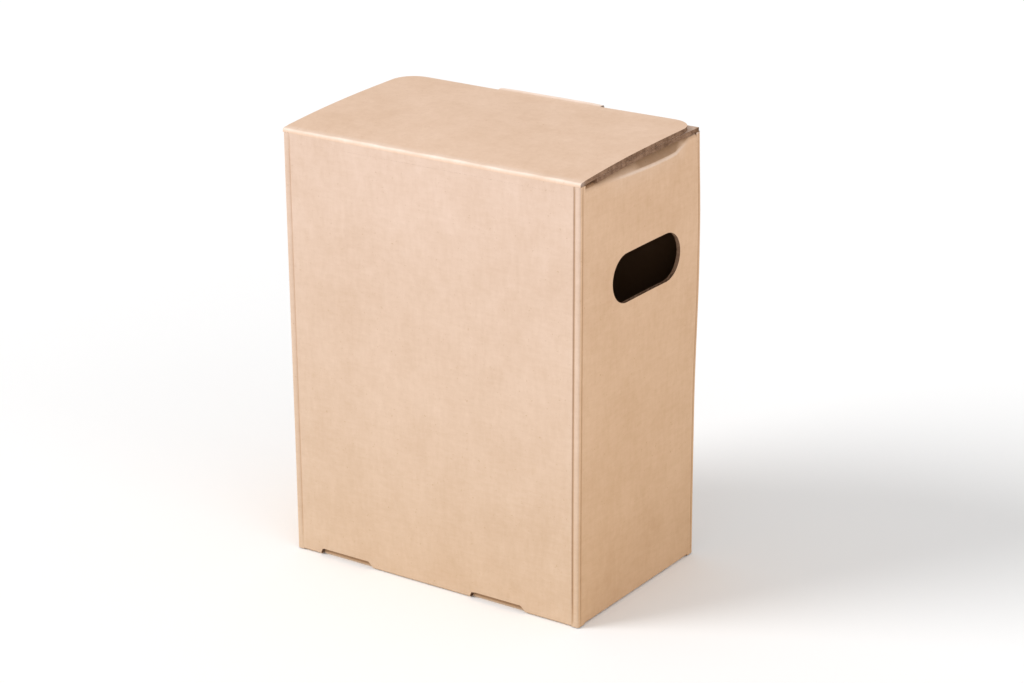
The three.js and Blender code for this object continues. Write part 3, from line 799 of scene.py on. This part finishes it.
def lid_flutes():
    places = []
    straight = SIDE - LID_CORNER
    count = int(2 * (SIDE - FLUTE) / (FLUTE / 2))
    for k in range(count + 1):
        x = -SIDE + FLUTE + k * FLUTE / 2
        if tongue_left - FLUTE / 2 < x < tongue_right + FLUTE / 2:
            continue
        out = max(0, abs(x) + FLUTE / 2 - straight)
        back = LID_CORNER - math.sqrt(max(0, LID_CORNER ** 2 - out ** 2))

        def at(along, depth, y):
            return sheet_lean(Vector((along, y, lid_lift(along, LID_REAR)))) - Vector((0, 0, depth))
        places.append((at, x, k % 2 == 0, LID_REAR - back - FLUTE_SHOWN, LID_REAR + 5 * MM))
    return places


cut_with(lid, flute_cutter("lid_flutes", lid_flutes()))
print("lid", len(lid.data.polygons), "faces")

# %% [markdown]
# The lid's fold is one strip, from the top of the front wall round its crest to the lid's front edge.

# %% Lid fold
fold_points = fold_path([(FRONT, FRONT_WALL_TOP), (FRONT, FRONT_HEIGHT, CRISP),
                         (FRONT + 7 * MM, FRONT_HEIGHT), (LID_START, LID_TOP - sag(LID_START))], 8)
fold_points[-2].y = LID_TOP - sag(fold_points[-2].x)
fold_points.insert(1, Vector((FRONT, FRONT_HEIGHT - BOARD)))
bpy.ops.mesh.primitive_plane_add(size=1)
lid_fold = start_piece(bpy.context.active_object, "lid_fold")
for v in lid_fold.data.vertices:
    z = FRONT_WALL_TOP + 2 * MM if v.co.y > 0 else FRONT_WALL_TOP
    v.co = Vector((FOLD_X if v.co.x > 0 else -FOLD_X, FRONT, z))
bpy.ops.object.mode_set(mode="EDIT")
slice_at(0, spread(-FOLD_X, FOLD_X, 60)[1:-1])


def wavy_row(p):
    def place(co):
        wave = 0.18 * math.sin(co.x / (13 * MM)) + 0.12 * math.sin(co.x / (4.1 * MM) + 1)
        near_fold = smooth(p.y, FRONT_HEIGHT - 3 * MM, FRONT_HEIGHT) * smooth(-p.x, -(FRONT + 8 * MM), -FRONT)
        return Vector((co.x, p.x, p.y + wave * near_fold * MM))
    return place


extrude_rows(lid_fold, lambda m, e: e.is_boundary and m.z > FRONT_WALL_TOP + 1.9 * MM,
             [wavy_row(p) for p in fold_points[1:]])
for hand in (-1, 1):
    def fold_end(m, e, hand=hand):
        return e.is_boundary and m.z > FRONT_HEIGHT - 3.2 * MM and \
            all(abs(hand * v.co.x - FOLD_X) < NEAR for v in e.verts)
    extrude_rows(lid_fold, fold_end, [lambda co, hand=hand: Vector((hand * SIDE, co.y, co.z))])
bpy.ops.object.mode_set(mode="OBJECT")


def fold_crest(co):
    """The painted highlight on the fold's crest, uneven along its length."""
    away = math.hypot(co.y - (FRONT + 0.5 * MM), co.z - (FRONT_HEIGHT - 0.5 * MM))
    uneven = 0.8 + 0.2 * math.sin(co.x / (5.3 * MM)) * math.sin(co.x / (17 * MM) + 2)
    return uneven * max(0, 1 - away / (2.3 * MM))


# A painted highlight along the fold's crest
paint(lid_fold, "wear", fold_crest)
shape_by(lid_fold, sheet_lean)
thicken(lid_fold, Vector((0, 0, 1)), "kraft_lid")
for face in lid_fold.data.polygons:
    if face.center.z < FRONT_HEIGHT - 3.3 * MM and face.material_index == LINER_SLOT:
        face.material_index = WALL_PAPER_SLOT
lid_fold.data.materials.append(materials["kraft_board"])

# %% [markdown]
# Smooth shading with sharp cut edges. Weighted normals keep the big flat faces flat.

# %% Shading
def finish_surface(obj, angle=38):
    choose(obj)
    bpy.ops.object.shade_smooth_by_angle(angle=math.radians(angle))
    weighted = obj.modifiers.new("weighted", "WEIGHTED_NORMAL")
    weighted.keep_sharp = True
    bpy.ops.object.modifier_apply(modifier=weighted.name)


pieces = [walls, lid, lid_fold] + tabs
for piece in pieces:
    finish_surface(piece)

# %% [markdown]
# Kraft paper: one node group gives its colour and height. Long pale and dark fibres lie
# in every direction, a slow mottle comes from the pulp, and a few specks from recycling.

# %% Kraft paper group
def srgb(r, g, b):
    """A colour as an eye reads it on a screen, turned into the linear numbers a shader wants."""
    def linear(v):
        v /= 255
        return v / 12.92 if v <= 0.04045 else ((v + 0.055) / 1.055) ** 2.4
    return (linear(r), linear(g), linear(b), 1)


def feed(tree, socket, value):
    """Links a socket to the one that feeds it, or gives it a fixed value."""
    if isinstance(value, bpy.types.NodeSocket):
        tree.links.new(value, socket)
    else:
        socket.default_value = value


def maths(tree, operation, *values, clamp=False):
    node = tree.nodes.new("ShaderNodeMath")
    node.operation = operation
    node.use_clamp = clamp
    for socket, value in zip(node.inputs, values):
        feed(tree, socket, value)
    return node.outputs[0]


def between(tree, value, start, stop):
    """0 where the value is at the start, 1 where it is at the stop, and even steps between."""
    node = tree.nodes.new("ShaderNodeMapRange")
    feed(tree, node.inputs["Value"], value)
    feed(tree, node.inputs["From Min"], start)
    feed(tree, node.inputs["From Max"], stop)
    return node.outputs["Result"]


def mixed(tree, factor, first, second, blend_type="MIX"):
    """Mixes two colours. A mix node's colour inputs are at the places 6 and 7."""
    node = tree.nodes.new("ShaderNodeMix")
    node.data_type = "RGBA"
    node.blend_type = blend_type
    feed(tree, node.inputs[0], factor)
    feed(tree, node.inputs[6], first)
    feed(tree, node.inputs[7], second)
    return node.outputs[2]


def build_kraft_group():
    group = bpy.data.node_groups.new("kraft_paper", "ShaderNodeTree")
    for name, kind, value in (("Colour", "NodeSocketColor", None), ("Tint", "NodeSocketColor", None),
                              ("Mottle", "NodeSocketFloat", 0.35), ("Fibre", "NodeSocketFloat", 0.3),
                              ("Specks", "NodeSocketFloat", 0.4)):
        socket = group.interface.new_socket(name, in_out="INPUT", socket_type=kind)
        if value is not None:
            socket.default_value = value
    group.interface.new_socket("Colour", in_out="OUTPUT", socket_type="NodeSocketColor")
    group.interface.new_socket("Height", in_out="OUTPUT", socket_type="NodeSocketFloat")
    nodes = group.nodes
    link = group.links.new
    enter = nodes.new("NodeGroupInput")
    leave = nodes.new("NodeGroupOutput")
    place = nodes.new("ShaderNodeTexCoord")

    def noise(scale, detail, rough, stretch=(1, 1, 1)):
        mapping = nodes.new("ShaderNodeMapping")
        mapping.inputs["Scale"].default_value = stretch
        link(place.outputs["Object"], mapping.inputs["Vector"])
        node = nodes.new("ShaderNodeTexNoise")
        node.inputs["Scale"].default_value = scale
        node.inputs["Detail"].default_value = detail
        node.inputs["Roughness"].default_value = rough
        link(mapping.outputs["Vector"], node.inputs["Vector"])
        return node.outputs["Fac"]

    mottle = between(group, noise(38, 5, 0.62), 0.3, 0.7)
    cloud = between(group, noise(9, 2, 0.5), 0.3, 0.7)
    fibre = between(group, noise(260, 6, 0.72, (1, 1, 0.28)), 0.32, 0.68)
    cross_fibre = between(group, noise(300, 5, 0.7, (0.3, 0.3, 1)), 0.35, 0.68)
    specks = between(group, noise(520, 2, 0.5), 0.7, 0.78)
    fine = maths(group, "MULTIPLY", maths(group, "ADD", fibre, cross_fibre), 0.5)
    slow = maths(group, "MULTIPLY", maths(group, "ADD", mottle, cloud), 0.5)
    dark = maths(group, "ADD", maths(group, "MULTIPLY", slow, enter.outputs["Mottle"]),
                 maths(group, "MULTIPLY", fine, enter.outputs["Fibre"]))
    dark = maths(group, "ADD", dark,
                 maths(group, "MULTIPLY", specks, enter.outputs["Specks"]), clamp=True)
    link(mixed(group, dark, enter.outputs["Colour"], enter.outputs["Tint"], "MULTIPLY"),
         leave.inputs["Colour"])
    link(maths(group, "ADD", maths(group, "MULTIPLY", fine, 0.6), maths(group, "MULTIPLY", mottle, 0.4)),
         leave.inputs["Height"])
    return group


kraft_group = build_kraft_group()

# %% [markdown]
# The same sheet gets painted light and shade: it is pinker and lighter on its wide walls, deeper and darker
# on its narrow ones, and every wall is painted darker towards the floor. Fold crests get a painted highlight,
# and the crushed lines, the dust flaps' roll and the locking tabs get painted shade.

# %% Tone group
def build_tone_group():
    group = bpy.data.node_groups.new("sheet_tone", "ShaderNodeTree")
    for name in ("Wide top", "Wide low", "Narrow top", "Narrow low"):
        group.interface.new_socket(name, in_out="INPUT", socket_type="NodeSocketColor")
    group.interface.new_socket("Colour", in_out="OUTPUT", socket_type="NodeSocketColor")
    nodes = group.nodes
    link = group.links.new
    enter = nodes.new("NodeGroupInput")
    leave = nodes.new("NodeGroupOutput")
    place = nodes.new("ShaderNodeTexCoord")
    split = nodes.new("ShaderNodeSeparateXYZ")
    link(place.outputs["Object"], split.inputs["Vector"])

    # A narrow wall is far to the side, clear of the wide walls and under the rear flap. Reaching 14 mm in,
    # the mask also gives the dust flaps' roll the narrow walls' painted shade.
    height = between(group, split.outputs["Z"], 0.0, FRONT_HEIGHT)
    aside = maths(group, "ABSOLUTE", split.outputs["X"])
    deep = maths(group, "ABSOLUTE", split.outputs["Y"])
    narrow = maths(group, "MULTIPLY", between(group, aside, SIDE - 14 * MM, SIDE - 13 * MM),
                   between(group, deep, REAR - 0.3 * MM, REAR - 1.1 * MM))
    narrow = maths(group, "MULTIPLY", narrow,
                   between(group, split.outputs["Z"], DUST_TOP - 0.1 * MM, DUST_TOP - 0.5 * MM))
    wide_colour = mixed(group, height, enter.outputs["Wide low"], enter.outputs["Wide top"])
    narrow_colour = mixed(group, height, enter.outputs["Narrow low"], enter.outputs["Narrow top"])
    link(mixed(group, narrow, wide_colour, narrow_colour), leave.inputs["Colour"])
    return group


tone_group = build_tone_group()

# %% Materials
# Pale pink of the painted highlights on the fold crests and the tongue's bend
PAINTED_HIGHLIGHT = srgb(255, 240, 231)
# The brown of the painted shade
PAINTED_SHADE = srgb(152, 112, 74)
# One board, wide and narrow walls, top and low: painted shade on the narrow walls and towards the floor
WALL_TONES_WITH_PAINTED_SHADE = (srgb(225, 200, 184), srgb(211, 184, 158), srgb(225, 190, 160), srgb(214, 178, 143))
# The lid is the same board, its tone set for its lit upward face: painted light
LID_TONES_AS_LIT = (srgb(232, 202, 179),) * 4
# The inside of the walls is painted darker than real liner: painted shade inside the box
INSIDE_TONES = (srgb(110, 82, 58),) * 4
LID_INSIDE_TONES = (srgb(196, 162, 128),) * 4
EDGE_TONES = (srgb(176, 140, 114),) * 4
PAPER_TINT = (0.78, 0.71, 0.62, 1)
EDGE_TINT = (0.22, 0.17, 0.13, 1)

# Tones, tint of the dark fibres, mottle, fibre, specks, bump height in mm, roughness
LOOKS = {
    "kraft_board": (WALL_TONES_WITH_PAINTED_SHADE, PAPER_TINT, 0.46, 0.44, 0.8, 0.08, 0.86),
    "kraft_lid": (LID_TONES_AS_LIT, PAPER_TINT, 0.42, 0.40, 0.8, 0.08, 0.86),
    "kraft_inside": (INSIDE_TONES, PAPER_TINT, 0.5, 0.4, 0.5, 0.1, 0.92),
    "lid_inside": (LID_INSIDE_TONES, PAPER_TINT, 0.42, 0.40, 0.6, 0.08, 0.9),
    "raw_edge": (EDGE_TONES, EDGE_TINT, 0.35, 0.85, 0.6, 0.5, 0.95),
}


def layer_over(material, below, name, colour, strength):
    """Blends a colour over another where the named vertex number says so."""
    tree = material.node_tree
    reader = tree.nodes.new("ShaderNodeAttribute")
    reader.attribute_name = name
    amount = maths(tree, "MULTIPLY", reader.outputs["Fac"], strength)
    return mixed(tree, amount, below, colour)


for name, (tones, tint, mottle, fibre, specks, bump_height, roughness) in LOOKS.items():
    material = materials[name]
    material.use_nodes = True
    nodes = material.node_tree.nodes
    link = material.node_tree.links.new
    shader = nodes["Principled BSDF"]
    shader.inputs["Roughness"].default_value = roughness
    shader.inputs["Specular IOR Level"].default_value = 0.2
    tone = nodes.new("ShaderNodeGroup")
    tone.node_tree = tone_group
    for socket, value in zip(tone.inputs, tones):
        socket.default_value = value
    paper = nodes.new("ShaderNodeGroup")
    paper.node_tree = kraft_group
    paper.inputs["Tint"].default_value = tint
    paper.inputs["Mottle"].default_value = mottle
    paper.inputs["Fibre"].default_value = fibre
    paper.inputs["Specks"].default_value = specks
    bump = nodes.new("ShaderNodeBump")
    bump.inputs["Strength"].default_value = 0.5
    bump.inputs["Distance"].default_value = bump_height * MM
    # Painted shade is blended over the tone
    colour = layer_over(material, tone.outputs["Colour"], "shade", PAINTED_SHADE, 0.75)
    # The painted highlight is blended over that
    colour = layer_over(material, colour, "wear", PAINTED_HIGHLIGHT, 0.9)
    link(colour, paper.inputs["Colour"])
    link(paper.outputs["Colour"], shader.inputs["Base Color"])
    link(paper.outputs["Height"], bump.inputs["Height"])
    link(bump.outputs["Normal"], shader.inputs["Normal"])
print("materials", list(LOOKS))

# %% [markdown]
# A pale floor and a soft studio: even light from everywhere, a broad key from the left
# that throws the shadow to the right, and a low fill that opens the narrow wall.

# %% Floor, light and world
WORLD_LEVEL = 0.65
bpy.ops.mesh.primitive_plane_add(size=12, location=(0, 0, -0.1 * MM))
floor = start_piece(bpy.context.active_object, "floor")
white = bpy.data.materials.new("studio_white")
white.use_nodes = True
white_shader = white.node_tree.nodes["Principled BSDF"]
white_shader.inputs["Base Color"].default_value = (0.97, 0.97, 0.97, 1)
white_shader.inputs["Roughness"].default_value = 1
white_shader.inputs["Specular IOR Level"].default_value = 0
floor.data.materials.append(white)

world = bpy.data.worlds.new("studio")
bpy.context.scene.world = world
world.use_nodes = True
wn = world.node_tree.nodes
background = wn["Background"]
background.inputs["Color"].default_value = (1, 1, 1, 1)
path = wn.new("ShaderNodeLightPath")
level = wn.new("ShaderNodeMapRange")
level.inputs["To Min"].default_value = WORLD_LEVEL
level.inputs["To Max"].default_value = 1
world.node_tree.links.new(path.outputs["Is Camera Ray"], level.inputs["Value"])
world.node_tree.links.new(level.outputs["Result"], background.inputs["Strength"])


def add_sun(name, energy, softness, towards):
    data = bpy.data.lights.new(name, "SUN")
    data.energy = energy
    data.angle = math.radians(softness)
    lamp = bpy.data.objects.new(name, data)
    bpy.context.scene.collection.objects.link(lamp)
    lamp.rotation_euler = Vector(towards).to_track_quat("Z", "Y").to_euler()


add_sun("key", energy=1.9, softness=30, towards=(-0.62, -0.6, 0.55))
add_sun("fill", energy=0.9, softness=60, towards=(0.9, -0.4, 0.25))
bpy.context.scene.view_settings.view_transform = "Standard"

# %% [markdown]
# Last, the walls, the tabs and the lid are hung on their bodies, and the imported solids they stand for are
# hidden. The lid's fold is only baked where it lies.

# %% Bodies
for piece in [walls] + tabs:
    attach(piece, "carton")
    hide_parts("carton_body")
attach(lid, "lid")
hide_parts("lid_flap")
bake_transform(lid_fold)
